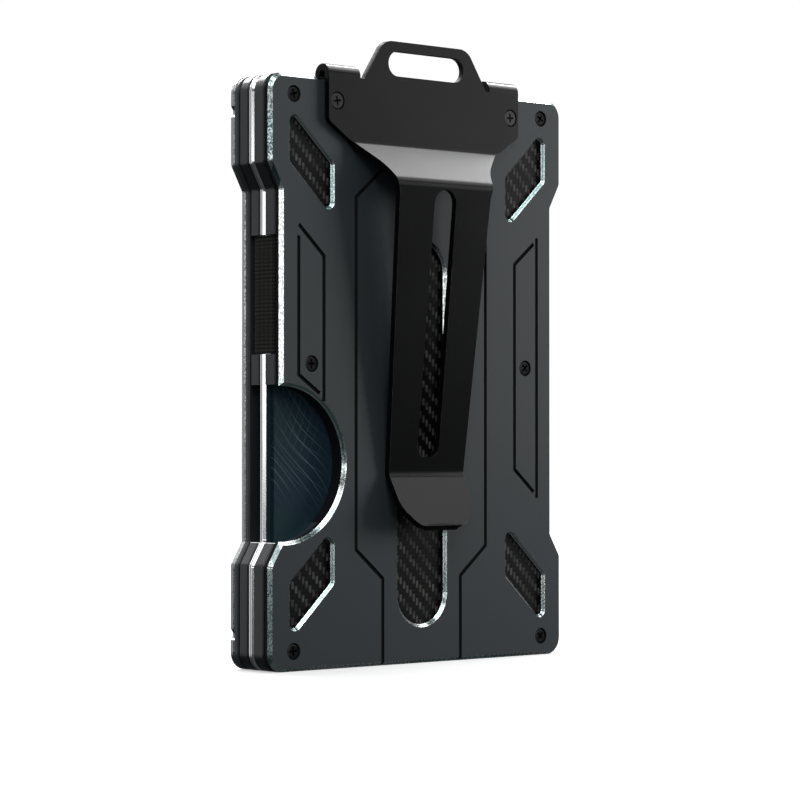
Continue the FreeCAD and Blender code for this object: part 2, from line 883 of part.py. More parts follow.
def add_fold(body, side, label):
    """Fold the sheet over the cover's top edge and down behind it."""
    outer_front = -D.sheet_thick
    inner_back = D.cover_thick
    center_y = D.cover_thick * 0.5
    center_z = D.fold_center_z
    inner = D.cover_thick * 0.5
    outer = inner + D.sheet_thick
    near = D.fold_inner_x if side > 0 else -D.flange_half_width
    sketch = new_sketch(body, f"fold_{label}", near, "YZ_Plane")
    center = FreeCAD.Vector(center_y.value, center_z.value, 0.0)
    up = FreeCAD.Vector(0, 0, 1)
    leaf_back = inner_back + D.sheet_thick
    corners = [
        (outer_front, center_z),
        (leaf_back, center_z),
        (leaf_back, D.leaf_low),
        (inner_back, D.leaf_low),
        (inner_back, center_z),
        (ZERO, center_z),
    ]
    spots = [FreeCAD.Vector(y.value, z.value, 0.0) for y, z in corners]
    sketch.addGeometry([
        Part.ArcOfCircle(Part.Circle(center, up, outer.value), 0.0, math.pi),
        Part.LineSegment(spots[0], spots[5]),
        Part.ArcOfCircle(Part.Circle(center, up, inner.value), 0.0, math.pi),
        Part.LineSegment(spots[4], spots[3]),
        Part.LineSegment(spots[3], spots[2]),
        Part.LineSegment(spots[2], spots[1]),
    ])
    sketch.addConstraint([
        Sketcher.Constraint("Coincident", 0, 2, 1, 1),
        Sketcher.Constraint("Coincident", 1, 2, 2, 2),
        Sketcher.Constraint("Tangent", 2, 1, 3, 1),
        Sketcher.Constraint("Coincident", 3, 2, 4, 1),
        Sketcher.Constraint("Coincident", 4, 2, 5, 1),
        Sketcher.Constraint("Tangent", 5, 2, 0, 1),
        Sketcher.Constraint("Coincident", 0, 3, 2, 3),
    ])
    driven = place_point(0, 3, center_y, center_z)
    driven += [(Sketcher.Constraint("Radius", 0, outer.value), outer.formula)]
    driven += [(Sketcher.Constraint("Radius", 2, inner.value), inner.formula)]
    driven += place_point(4, 1, inner_back, D.leaf_low)
    driven += place_point(5, 1, leaf_back, D.leaf_low)
    add_driven(sketch, driven)
    sketch.addConstraint([
        Sketcher.Constraint("Horizontal", 1),
        Sketcher.Constraint("PointOnObject", 0, 3, 1),
    ])
    pad(body, sketch, D.flange_half_width - D.fold_inner_x, reverse=False)


def make_clip_base():
    """Make the clip's fixed end: flange, two folds with their back leaves, and lanyard loop."""
    body = new_body("money_clip_base")
    sketch = new_sketch(body, "flange", -D.sheet_thick)
    right = flange_corners()
    draw_loop(sketch, right + mirrored(right)[::-1])
    pad(body, sketch, D.sheet_thick)
    tops = [right[-1], mirrored(right)[-1]]
    dress(body, "Fillet", "loop_corners", edges_through(body, tops), D.loop_radius)
    shoulders = [right[1]]
    both = shoulders + mirrored(shoulders)
    dress(body, "Fillet", "shoulders", edges_through(body, both), D.waist_radius)
    slot_radius = (D.loop_slot_high - D.loop_slot_low) * 0.5
    slot_z = (D.loop_slot_high + D.loop_slot_low) * 0.5
    slot_x = D.loop_slot_half - slot_radius
    sketch = new_sketch(body, "loop_slot", -D.sheet_thick)
    draw_slot(sketch, (-slot_x, slot_z), (slot_x, slot_z), slot_radius)
    pocket(body, sketch, D.sheet_thick)
    for side, label in ((-1.0, "left"), (1.0, "right")):
        add_fold(body, side, label)
    sink = D.head_sink + D.head_thick
    cut_circles(body, "bores", clip_screw_places(), D.clip_bore_radius, -D.sheet_thick, sink)
    through = D.cover_thick + D.sheet_thick * 2.0
    cut_circles(body, "holes", clip_screw_places(), D.shank_radius, -D.sheet_thick, through)
    place_front(body)
    return body


def arm_section():
    """Return the arm's folded sheet as its front face and its back face, from bend to tip."""
    heel = D.heel_stand + D.sheet_thick
    front = [
        (-D.sheet_thick, D.bend_z - D.bend_gap),
        (-D.clip_stand - D.shoulder_relief, D.shoulder_z),
        (-heel, D.heel_z),
        (-D.tip_stand, D.tip_z),
    ]
    back = shifted(front, D.sheet_thick, closed=False)
    back[0] = (ZERO, D.bend_z - D.bend_gap)
    return front, back


def curve_points(start, knee, finish, steps=6):
    """Return points on the smooth curve that leaves start and reaches finish towards a knee."""
    points = []
    for step in range(steps + 1):
        along = step / steps
        weights = ((1.0 - along) ** 2, 2.0 * along * (1.0 - along), along ** 2)
        x = start[0] * weights[0] + knee[0] * weights[1] + finish[0] * weights[2]
        z = start[1] * weights[0] + knee[1] * weights[1] + finish[1] * weights[2]
        points.append((x, z))
    return points


def arm_outline():
    """Return the right half of the arm's outline seen from the front, from bend to tip."""
    flare = curve_points(
        (D.flare_half, D.bend_z), (D.flare_knee_half, D.flare_knee_z), (D.arm_top_half, D.arm_top_z))
    return flare + [
        (D.heel_half, D.heel_z),
        (D.tip_side_half, D.tip_z + D.tip_side_rise),
        (D.tip_corner_half, D.tip_z + D.tip_corner_rise),
        (D.tip_half, D.tip_z - D.tip_trim),
    ]


def make_clip_arm():
    """Make the clip's springy arm, which stands off at the shoulder and rests on the cover at the heel."""
    body = new_body("money_clip_arm")
    half = D.flange_half_width
    sketch = new_sketch(body, "section", -half, "YZ_Plane")
    front, back = arm_section()
    draw_loop(sketch, front + back[::-1])
    pad(body, sketch, half * 2.0, reverse=False)
    for label, outer, inner, radius in (
            ("shoulder", front[1], back[1], D.bend_radius), ("heel", back[2], front[2], D.heel_radius)):
        dress(body, "Fillet", f"{label}_outside", edges_across(body, [outer]), radius + D.sheet_thick)
        dress(body, "Fillet", f"{label}_inside", edges_across(body, [inner]), radius)
    sketch = new_sketch(body, "trim", -D.clip_stand - BEYOND)
    right = arm_outline()
    draw_loop(sketch, right + mirrored(right)[::-1])
    frame = [(half + BEYOND, D.tip_z - BEYOND * 3.0), (half + BEYOND, D.bend_z + BEYOND)]
    draw_loop(sketch, frame + mirrored(frame)[::-1])
    pocket(body, sketch, D.clip_stand + BEYOND + BEYOND)
    tips = right[-2:] + mirrored(right[-2:])
    dress(body, "Fillet", "tip_corners", edges_through(body, tips), D.tip_radius)
    sketch = new_sketch(body, "slot", -D.clip_stand - BEYOND)
    low = D.arm_slot_low + D.arm_slot_radius
    high = D.arm_slot_high - D.arm_slot_radius
    draw_slot(sketch, (ZERO, low), (ZERO, high), D.arm_slot_radius)
    pocket(body, sketch, D.clip_stand + BEYOND + BEYOND)
    place_front(body)
    return body


# ---- Build, check and export -----------------------------------------------------------------

def build_parts():
    """Make every sub-part."""
    place_front(make_cover("front_cover", True))
    make_front_inner_plate()
    make_inlays("front", place_front)
    places = cover_screw_places()
    make_screws("front_cover_screws", places, D.head_radius, D.head_sink, COVER_TURNS, place_front)
    make_clip_base()
    make_clip_arm()
    clip_head = D.head_sink - D.sheet_thick
    make_screws("clip_screws", clip_screw_places(), D.clip_head_radius, clip_head, CLIP_TURNS, place_front)
    make_card()
    make_divider()
    make_rear_inner_plate()
    make_rear_backing_plate()
    place_rear(make_cover("rear_cover", False))
    make_inlays("rear", place_rear)
    make_screws("rear_cover_screws", places, D.head_radius, D.head_sink, COVER_TURNS, place_rear)
    make_strap("elastic_strap_left", -1.0)
    make_strap("elastic_strap_right", 1.0)
    front, back = strap_span()
    make_pins("front_strap_pins", front + D.strap_thick * 0.5, place_front)
    make_pins("rear_strap_pins", back - D.strap_thick * 0.5, place_front)


def check_document():
    """Stop on any object that failed to compute."""
    for item in doc.Objects:
        if "Invalid" in item.State or "Error" in item.State:
            raise RuntimeError(f"{item.Name} failed: {item.State}")


def export_parts():
    """Check each sub-part's shape and write it to its own file."""
    os.makedirs("parts", exist_ok=True)
    bodies = [item for item in doc.Objects if item.TypeId == "PartDesign::Body"]
    for body in bodies:
        shape = body.Shape
        if shape.isNull() or not shape.isValid() or not shape.Solids:
            raise RuntimeError(f"{body.Label} has no valid shape")
    for body in bodies:
        body.Shape.exportStep(f"parts/{body.Label}.step")
        box = body.Shape.BoundBox
        print(f"{body.Label}: {len(body.Shape.Solids)} solids, {body.Shape.Volume:.1f} mm3, "
              f"y {box.YMin:.2f} to {box.YMax:.2f}, z {box.ZMin:.2f} to {box.ZMax:.2f}")


build_parts()
doc.recompute()
check_document()
export_parts()
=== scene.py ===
import math

import bmesh
import bpy
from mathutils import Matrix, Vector


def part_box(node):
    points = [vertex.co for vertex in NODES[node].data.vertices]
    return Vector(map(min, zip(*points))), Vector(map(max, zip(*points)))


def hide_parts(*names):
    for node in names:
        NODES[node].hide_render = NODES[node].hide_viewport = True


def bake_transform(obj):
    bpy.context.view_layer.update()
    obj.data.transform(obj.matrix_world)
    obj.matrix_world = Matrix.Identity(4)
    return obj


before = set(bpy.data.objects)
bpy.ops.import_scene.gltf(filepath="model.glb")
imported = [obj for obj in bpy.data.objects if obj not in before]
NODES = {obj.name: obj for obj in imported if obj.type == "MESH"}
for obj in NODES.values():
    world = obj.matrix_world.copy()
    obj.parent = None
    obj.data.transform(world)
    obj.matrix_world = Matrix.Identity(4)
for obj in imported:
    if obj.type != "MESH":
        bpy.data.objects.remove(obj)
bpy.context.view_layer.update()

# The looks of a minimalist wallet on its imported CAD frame. Metres throughout, unless a name ends in
# _MM. The front (clip) side looks along -Y, and the wallet stands on z = 0.

MM = 0.001
CORNERS = ("top_left", "top_right", "bottom_left", "bottom_right")

FRONT_FACE_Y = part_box("front_cover")[0].y
REAR_FACE_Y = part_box("rear_cover")[1].y

# Where the covers' features lie, as in the CAD model
NOTCH_CENTER = (-27.72 * MM, 31.23 * MM)
NOTCH_RADIUS = 11.92 * MM
WAIST_X = 28.5 * MM
EAR_X = 29.9 * MM
EAR_LOW_Z = 12.0 * MM
EAR_HIGH_Z = 80.0 * MM
WINDOW_OUTER_X = 27.2 * MM
BEVEL_DEPTH = 0.5 * MM

# Limits by which the materials tell one surface from another
GROOVE_MIN_DEPTH = 0.06 * MM
CROSS_MIN_DEPTH = 0.3 * MM
COVER_FOOT_Z = 0.3 * MM
COVER_TOP_Z = 89.7 * MM
NOTCH_WALL_ROOM = 0.06 * MM
NOTCH_HIGHLIGHT_SHARE = 0.75
BEVEL_NORMAL_LOW = 0.45
BEVEL_NORMAL_HIGH = 0.93

# Carbon weave, fine surface texture, and the woven straps
TOW_WIDTH = 0.68 * MM
FINE_BUMP = 0.01 * MM
STRAP_THICK = 0.765 * MM
STRAP_BAND = 0.6 * MM
STRAP_BEND = 0.42 * MM
STRAP_END_ROOM = 0.06 * MM
STRAP_RIB = 0.62 * MM
STRAP_RIB_LIFT_MM = 0.035
STRAP_CORD_LIFT_MM = 0.02
STRAP_CORD_POINTS = 6.0
STRAP_POINTS = 90
STRAP_ROWS = 190

WALLET_MIDDLE = Vector((0.0, 0.0, 45.0 * MM))

# The money clip's sheet, in millimetres: stand-off from the cover's face and height
SHEET_MM = 1.035
BEND_RADII_MM = [0, 1.4, 1.5, 2.5, 0]
CLIP_FRONT_MM = [(SHEET_MM, 97.0), (SHEET_MM, 80.28), (5.82, 74.61), (SHEET_MM, 29.43), (5.04, 21.6)]
CLIP_SCREW_BORE_MM = 1.38
LOOP_SLOT_HALF_MM = 5.945
LOOP_SLOT_HEIGHT_MM = 93.015
LOOP_SLOT_RADIUS_MM = 1.935
ARM_SLOT_LOW_MM = 34.25
ARM_SLOT_HIGH_MM = 71.33
ARM_SLOT_RADIUS_MM = 2.295
FOLD_CENTER_MM = (-0.63, 90.405)
FOLD_RADIUS_MM = 0.63 + SHEET_MM / 2
FOLD_INNER_MM = 13.59
LEAF_LOW_MM = 83.34
CLIP_SCREW_MM = (18.18, 86.4)
FLAT_RUN_MM = 2.0
FOLD_SUPPORT_MM = 0.25
FOLD_STEPS = 14
BROKEN_EDGE_MM = 0.15


# ---- Node materials --------------------------------------------------------------------------

class Shade:
    """A node material around one Principled shader, with short calls for the common nodes."""

    def __init__(self, name, roughness=0.5, metallic=0.0, specular=0.5):
        self.material = bpy.data.materials.new(name)
        self.material.use_nodes = True
        self.tree = self.material.node_tree
        self.tree.nodes.clear()
        output = self.tree.nodes.new("ShaderNodeOutputMaterial")
        self.shader = self.tree.nodes.new("ShaderNodeBsdfPrincipled")
        self.tree.links.new(self.shader.outputs["BSDF"], output.inputs["Surface"])
        self.shader.inputs["Roughness"].default_value = roughness
        self.shader.inputs["Metallic"].default_value = metallic
        self.shader.inputs["Specular IOR Level"].default_value = specular
        self.texture = self.tree.nodes.new("ShaderNodeTexCoord")
        self.geometry = self.tree.nodes.new("ShaderNodeNewGeometry")

    def put(self, value, socket):
        """Link a socket, or set a plain value."""
        if isinstance(value, bpy.types.NodeSocket):
            self.tree.links.new(value, socket)
        else:
            socket.default_value = value

    def math(self, operation, *values, clamp=False):
        """Return the result of one sum."""
        node = self.tree.nodes.new("ShaderNodeMath")
        node.operation = operation
        node.use_clamp = clamp
        for value, socket in zip(values, node.inputs):
            self.put(value, socket)
        return node.outputs[0]

    def split(self, vector):
        """Return a vector's three numbers."""
        node = self.tree.nodes.new("ShaderNodeSeparateXYZ")
        self.put(vector, node.inputs[0])
        return node.outputs[0], node.outputs[1], node.outputs[2]

    def place(self):
        """Return the point's coordinates in the wallet's frame at rest."""
        return self.split(self.texture.outputs["Object"])

    def normal(self):
        """Return the surface's true normal."""
        return self.split(self.geometry.outputs["True Normal"])

    def noise(self, scale, detail=3.0, stretch=(1.0, 1.0, 1.0), rough=0.55):
        """Return noise from 0 to 1."""
        mapping = self.tree.nodes.new("ShaderNodeMapping")
        mapping.inputs["Scale"].default_value = stretch
        self.put(self.texture.outputs["Object"], mapping.inputs["Vector"])
        node = self.tree.nodes.new("ShaderNodeTexNoise")
        node.inputs["Scale"].default_value = scale
        node.inputs["Detail"].default_value = detail
        node.inputs["Roughness"].default_value = rough
        self.put(mapping.outputs[0], node.inputs["Vector"])
        return node.outputs["Fac"]

    def ramp(self, value, low, high, start=0.0, end=1.0):
        """Return a value mapped smoothly from one range to another, clamped."""
        node = self.tree.nodes.new("ShaderNodeMapRange")
        node.interpolation_type = "SMOOTHSTEP"
        for name, number in (("From Min", low), ("From Max", high), ("To Min", start), ("To Max", end)):
            node.inputs[name].default_value = number
        self.put(value, node.inputs["Value"])
        return node.outputs["Result"]

    def mix(self, factor, first, second):
        """Return a colour between two colours."""
        node = self.tree.nodes.new("ShaderNodeMix")
        node.data_type = "RGBA"
        self.put(factor, node.inputs[0])
        for value, socket in ((first, node.inputs[6]), (second, node.inputs[7])):
            self.put((*value, 1.0) if isinstance(value, tuple) else value, socket)
        return node.outputs[2]

    def bump(self, height, distance, strength=1.0):
        """Bend the shading normal by a height map."""
        node = self.tree.nodes.new("ShaderNodeBump")
        node.inputs["Strength"].default_value = strength
        node.inputs["Distance"].default_value = distance
        self.put(height, node.inputs["Height"])
        self.put(node.outputs[0], self.shader.inputs["Normal"])

    def set(self, **values):
        """Set or link the shader's inputs by name, with underscores for spaces."""
        for name, value in values.items():
            socket = self.shader.inputs[name.replace("_", " ")]
            self.put((*value, 1.0) if isinstance(value, tuple) else value, socket)


def inside(shade, value, low, high):
    """Return 1 where a value lies between two limits, and 0 elsewhere."""
    above = shade.math("GREATER_THAN", value, low)
    below = shade.math("LESS_THAN", value, high)
    return shade.math("MULTIPLY", above, below)


def bevel_mask(shade):
    """Return 1 on faces cut at 45 degrees to the wallet's faces."""
    across = shade.math("ABSOLUTE", shade.normal()[1])
    return inside(shade, across, BEVEL_NORMAL_LOW, BEVEL_NORMAL_HIGH)


def distance_from(shade, x, z, center):
    """Return how far a point of the upright plane lies from a centre."""
    across = shade.math("SUBTRACT", x, center[0])
    up = shade.math("SUBTRACT", z, center[1])
    squares = shade.math("ADD", shade.math("POWER", across, 2.0), shade.math("POWER", up, 2.0))
    return shade.math("SQRT", squares)


def anodised_color(shade, grain):
    """Return dark slate anodising, a little uneven, with a fine grain."""
    tint = shade.ramp(shade.noise(18.0, 2.0), 0.35, 0.68)
    cloud = shade.ramp(shade.noise(60.0, 3.0), 0.3, 0.7)
    slate = shade.mix(tint, (0.031, 0.044, 0.054), (0.036, 0.045, 0.046))
    clouded = shade.mix(shade.math("MULTIPLY", cloud, 0.3), slate, (0.044, 0.053, 0.060))
    return shade.mix(shade.math("MULTIPLY", grain, 0.25), clouded, (0.022, 0.027, 0.031))


def bright_cut_color(shade, depth, outer, streak):
    """Return the bevels' colour: polished, with streaks on the ears and dull lines elsewhere."""
    x, _, z = shade.place()
    teal = shade.ramp(shade.noise(90.0, 2.0), 0.42, 0.6)
    polished = shade.mix(teal, (0.90, 0.92, 0.92), (0.55, 0.72, 0.70))
    worn = shade.mix(teal, (0.22, 0.27, 0.28), (0.08, 0.13, 0.14))
    side_reach = shade.math("ABSOLUTE", x)
    ear = shade.math("GREATER_THAN", side_reach, EAR_X)
    diagonal = inside(shade, side_reach, WAIST_X, EAR_X)
    diagonal = shade.math("MULTIPLY", diagonal, inside(shade, z, EAR_LOW_Z, EAR_HIGH_Z))
    across = shade.math("ABSOLUTE", shade.math("SUBTRACT", shade.math("DIVIDE", depth, BEVEL_DEPTH), 0.5))
    middle = shade.ramp(across, 0.12, 0.34, 0.55, 0.0)
    window = shade.math("SUBTRACT", 1.0, outer)
    dull = shade.math("MAXIMUM", shade.math("MULTIPLY", streak, ear), shade.math("MULTIPLY", middle, window))
    dull = shade.math("MAXIMUM", dull, diagonal)
    return shade.mix(dull, polished, worn)


def satin_color(shade):
    """Return bare brushed metal."""
    brushed = shade.noise(700.0, 3.0, (1.0, 1.0, 0.05))
    return shade.mix(brushed, (0.2, 0.205, 0.21), (0.3, 0.305, 0.31))


def cover_material(name, face_y, inward, bare_sides):
    """Dark anodised aluminium with bright-cut bevels; grooves, pockets and sunk walls are painted near black
    as painted shade.
    """
    shade = Shade(name, specular=0.4)
    x, y, z = shade.place()
    depth = shade.math("MULTIPLY", shade.math("SUBTRACT", y, face_y), inward)
    bevel = bevel_mask(shade)
    sunk = shade.math("GREATER_THAN", depth, GROOVE_MIN_DEPTH)
    outer = shade.math("GREATER_THAN", shade.math("ABSOLUTE", x), WINDOW_OUTER_X)
    grain = shade.noise(5600.0, 2.0)
    streak = shade.ramp(shade.noise(3400.0, 3.0, (1.0, 1.0, 0.8), 0.7), 0.4, 0.6)
    bright = bright_cut_color(shade, depth, outer, streak)
    # Painted shade: grooves, pockets and every wall sunk below the face are painted near black; the rear
    # cover's sides are bared to satin metal below.
    color = shade.mix(sunk, anodised_color(shade, grain), (0.004, 0.0045, 0.006))
    bare = bevel
    if bare_sides:
        flank = shade.math("MULTIPLY", outer, sunk)
        foot = shade.math("LESS_THAN", z, COVER_FOOT_Z)
        ends = shade.math("ADD", foot, shade.math("GREATER_THAN", z, COVER_TOP_Z))
        rim = shade.math("MAXIMUM", flank, shade.math("MULTIPLY", ends, sunk), clamp=True)
        satin = satin_color(shade)
        color = shade.mix(rim, color, satin)
        bright = shade.mix(outer, bright, satin)
        bare = shade.math("MAXIMUM", bevel, rim)
    rough = shade.math("ADD", 0.4, shade.math("MULTIPLY", grain, 0.12))
    rough = shade.math("MAXIMUM", rough, shade.math("MULTIPLY", sunk, 0.9))
    rough_bare = shade.math("ADD", 0.16, shade.math("MULTIPLY", streak, 0.2))
    delta = shade.math("SUBTRACT", rough_bare, rough)
    shade.set(
        Base_Color=shade.mix(bevel, color, bright),
        Metallic=bare,
        Roughness=shade.math("ADD", rough, shade.math("MULTIPLY", delta, bare)),
    )
    smoothed = shade.math("SUBTRACT", 1.0, shade.math("MULTIPLY", bare, 0.75))
    shade.bump(shade.math("MULTIPLY", shade.noise(4200.0, 3.0), smoothed), FINE_BUMP, 0.5)
    return shade.material


def backing_plate_material():
    """Grey anodised plate edge, a little lighter than its neighbours."""
    shade = Shade("backing_plate_grey", specular=0.4)
    streak = shade.noise(320.0, 3.0, (1.0, 1.0, 0.06))
    shade.set(
        Base_Color=shade.mix(streak, (0.022, 0.025, 0.03), (0.045, 0.05, 0.055)),
        Roughness=shade.ramp(streak, 0.2, 0.8, 0.3, 0.44),
    )
    shade.bump(streak, FINE_BUMP, 0.3)
    return shade.material


def inner_plate_material():
    """Dark anodised plate edges, with the thumb notch's wall painted bright metal at its lower end as a
    painted highlight.
    """
    shade = Shade("inner_plate_dark", specular=0.36)
    x, _, z = shade.place()
    reach = distance_from(shade, x, z, NOTCH_CENTER)
    wall = inside(shade, reach, NOTCH_RADIUS - NOTCH_WALL_ROOM, NOTCH_RADIUS + NOTCH_WALL_ROOM)
    notch_highlight_top = NOTCH_CENTER[1] - NOTCH_HIGHLIGHT_SHARE * NOTCH_RADIUS
    # Painted highlight: only the lower end of the notch's wall is bright metal, where light catches it.
    notch_highlight = shade.math("MULTIPLY", wall, shade.math("LESS_THAN", z, notch_highlight_top))
    streak = shade.noise(290.0, 3.0, (1.0, 1.0, 0.08))
    dark = shade.mix(streak, (0.009, 0.011, 0.015), (0.018, 0.021, 0.027))
    shade.set(
        Base_Color=shade.mix(notch_highlight, dark, (0.8, 0.81, 0.82)),
        Metallic=notch_highlight,
        Roughness=shade.ramp(streak, 0.2, 0.8, 0.28, 0.38),
    )
    shade.bump(shade.noise(2600.0, 2.0, (1.0, 1.0, 0.15)), FINE_BUMP, 0.4)
    return shade.material


def divider_material():
    """Dark faced plate with a bright cut edge: polished bevels each side of a satin line."""
    shade = Shade("divider_bright_edge", specular=0.3)
    low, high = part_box("divider_plate")
    middle = (low.y + high.y) / 2
    _, y, _ = shade.place()
    off_middle = shade.math("ABSOLUTE", shade.math("SUBTRACT", y, middle))
    face = shade.math("GREATER_THAN", off_middle, (high.y - low.y) / 2 - 0.02 * MM)
    satin = shade.ramp(off_middle, 0.12 * MM, 0.2 * MM, 1.0, 0.0)
    brushed = shade.noise(560.0, 4.0, (1.0, 6.0, 0.04))
    polish = shade.mix(brushed, (0.95, 0.96, 0.97), (0.82, 0.83, 0.85))
    edge = shade.mix(satin, polish, (0.30, 0.31, 0.33))
    black = shade.mix(brushed, (0.016, 0.036, 0.046), (0.020, 0.044, 0.056))
    rough = shade.math("ADD", shade.math("MULTIPLY", satin, 0.2), shade.ramp(face, 0.0, 1.0, 0.16, 0.5))
    shade.set(
        Base_Color=shade.mix(face, edge, black),
        Metallic=shade.math("SUBTRACT", 1.0, face),
        Roughness=rough,
    )
    shade.bump(brushed, FINE_BUMP, 0.35)
    return shade.material


def carbon_material():
    """Two-by-two twill of carbon tows under a thin resin: painted sheen, pale on the upright floats' crowns,
    on a dark ground.
    """
    shade = Shade("carbon_twill", roughness=0.42, specular=0.12)
    x, _, z = shade.place()
    column = shade.math("DIVIDE", x, TOW_WIDTH)
    row = shade.math("DIVIDE", z, TOW_WIDTH)
    steps = shade.math("ADD", shade.math("FLOOR", row), shade.math("FLOOR", column))
    phase = shade.math("FLOORED_MODULO", steps, 4.0)
    upright = shade.math("LESS_THAN", phase, 1.5)

    def crown(position):
        """Return the rounded height over a span from 0 to 1."""
        centered = shade.math("ABSOLUTE", shade.math("SUBTRACT", position, 0.5))
        return shade.math("SUBTRACT", 1.0, shade.math("MULTIPLY", shade.math("POWER", centered, 2.0), 4.0))

    along = shade.math("MULTIPLY", shade.math("ADD", phase, shade.math("FRACT", row)), 0.5)
    ends = shade.ramp(crown(along), 0.05, 0.5)
    float_crown = shade.math("MULTIPLY", crown(shade.math("FRACT", column)), ends)
    float_crown = shade.math("MULTIPLY", float_crown, upright)
    fibre = shade.noise(5600.0, 2.0, (1.0, 1.0, 0.05))
    # Painted sheen: the upright floats are pale at their crowns and brighter in random patches, standing in
    # for light on the fibres.
    painted_glint = shade.ramp(shade.noise(520.0, 2.0), 0.36, 0.64, 0.25, 1.0)
    pale = shade.mix(shade.math("MULTIPLY", fibre, painted_glint), (0.012, 0.013, 0.012), (0.19, 0.195, 0.18))
    dark = shade.mix(fibre, (0.0015, 0.0015, 0.002), (0.005, 0.0055, 0.006))
    shade.set(Base_Color=shade.mix(shade.ramp(float_crown, 0.25, 0.9), dark, pale))
    level_crown = shade.math("MULTIPLY", crown(shade.math("FRACT", row)), 0.5)
    shade.bump(shade.math("MAXIMUM", float_crown, level_crown), 0.03 * MM, 0.5)
    return shade.material


def clip_material():
    """Black coated spring steel, satin, with a faint orange-peel surface."""
    shade = Shade("clip_black_steel", specular=0.5)
    cloud = shade.noise(42.0, 3.0)
    grain = shade.noise(4600.0, 2.0)
    tone = shade.mix(cloud, (0.0016, 0.0016, 0.0017), (0.0024, 0.0024, 0.0025))
    shade.set(
        Base_Color=shade.mix(shade.math("MULTIPLY", grain, 0.3), tone, (0.005, 0.005, 0.005)),
        Roughness=shade.ramp(cloud, 0.3, 0.7, 0.19, 0.21),
    )
    shade.bump(shade.noise(1700.0, 2.0), 0.003 * MM, 0.15)
    return shade.material


def clip_rim_material():
    """Blacked cut rim of the clip's sheet, duller than its faces."""
    shade = Shade("clip_cut_rim", specular=0.12)
    cut = shade.noise(1200.0, 3.0, (1.0, 0.1, 1.0))
    shade.set(
        Base_Color=shade.mix(cut, (0.0015, 0.0015, 0.0016), (0.006, 0.006, 0.006)),
        Roughness=shade.ramp(cut, 0.2, 0.8, 0.4, 0.55),
    )
    shade.bump(cut, FINE_BUMP, 0.3)
    return shade.material


def clip_edge_material():
    """Broken edges of the clip's sheet, painted bright along the springy arm only as painted edge
    highlights.
    """
    shade = Shade("clip_edge_painted_highlight", specular=0.3)
    _, _, z = shade.place()
    top = CLIP_FRONT_MM[1][1] * MM
    arm = shade.ramp(z, top - 1.2 * MM, top + 0.2 * MM, 1.0, 0.0)
    # Painted highlight: the edges are made bright grey metal, in patches, along the arm only, where light
    # catches them.
    patchy_glint = shade.ramp(shade.noise(420.0, 3.0), 0.3, 0.6, 0.35, 1.0)
    worn = shade.math("MULTIPLY", arm, patchy_glint)
    shade.set(
        Base_Color=shade.mix(worn, (0.004, 0.004, 0.004), (0.55, 0.55, 0.55)),
        Metallic=shade.math("MULTIPLY", worn, 0.35),
        Roughness=shade.ramp(worn, 0.0, 1.0, 0.35, 0.28),
    )
    return shade.material


def screw_material(name, face_y, inward, specular, worn):
    """Black oxide screws, their cross recesses painted black as painted shade, the heads' rims lighter."""
    shade = Shade(name, specular=specular)
    _, y, _ = shade.place()
    depth = shade.math("MULTIPLY", shade.math("SUBTRACT", y, face_y), inward)
    recess_shade = shade.math("GREATER_THAN", depth, CROSS_MIN_DEPTH)
    wear = shade.ramp(shade.noise(2000.0, 3.0), 0.45, 0.7)
    tone = shade.mix(wear, tuple(0.4 * part for part in worn), worn)
    # Painted shade: the cross recesses are painted near black and made fully rough.
    tone = shade.mix(recess_shade, tone, (0.0006, 0.0006, 0.0006))
    rim = shade.math("MULTIPLY", bevel_mask(shade), 0.7)
    shade.set(
        Base_Color=shade.mix(rim, tone, tuple(6.0 * part for part in worn)),
        Roughness=shade.math("MAXIMUM", shade.ramp(wear, 0.0, 1.0, 0.32, 0.42), recess_shade),
    )
    shade.bump(wear, FINE_BUMP, 0.3)
    return shade.material


def elastic_material():
    """Black knitted elastic: upright cords crossed by fine ribs, with painted shade in the hollows between
    them.
    """
    shade = Shade("elastic_black", roughness=0.85, specular=0.2)
    _, y, z = shade.place()
    ribs = shade.math("SINE", shade.math("MULTIPLY", z, math.tau / (0.56 * MM)))
    cords = shade.math("SINE", shade.math("MULTIPLY", y, math.tau / (0.45 * MM)))
    weave = shade.math("MULTIPLY", shade.math("ADD", ribs, shade.math("MULTIPLY", cords, 0.5)), 0.5)
    fuzz = shade.noise(2600.0, 3.0)
    # Painted shade: the weave is lighter on its raised ribs and cords and darker in the hollows between
    # them.
    lift = shade.ramp(shade.math("ADD", weave, fuzz), -0.4, 1.2)
    shade.set(
        Base_Color=shade.mix(lift, (0.002, 0.002, 0.002), (0.022, 0.021, 0.018)),
        Sheen_Weight=0.15,
        Sheen_Roughness=0.5,
    )
    shade.bump(shade.math("ADD", weave, shade.math("MULTIPLY", fuzz, 0.5)), 0.05 * MM, 0.8)
    return shade.material


def ring_lines(shade, center, spacing, thickness, sway):
    """Return fine wavering lines that run round a far centre in the card's plane."""
    x, _, z = shade.place()
    waver = shade.math("MULTIPLY", shade.noise(38.0, 1.0), sway)
    reach = shade.math("ADD", distance_from(shade, x, z, center), waver)
    turns = shade.math("FRACT", shade.math("DIVIDE", reach, spacing))
    near = shade.math("ABSOLUTE", shade.math("SUBTRACT", turns, 0.5))
    return shade.ramp(near, 0.0, thickness, 1.0, 0.0)


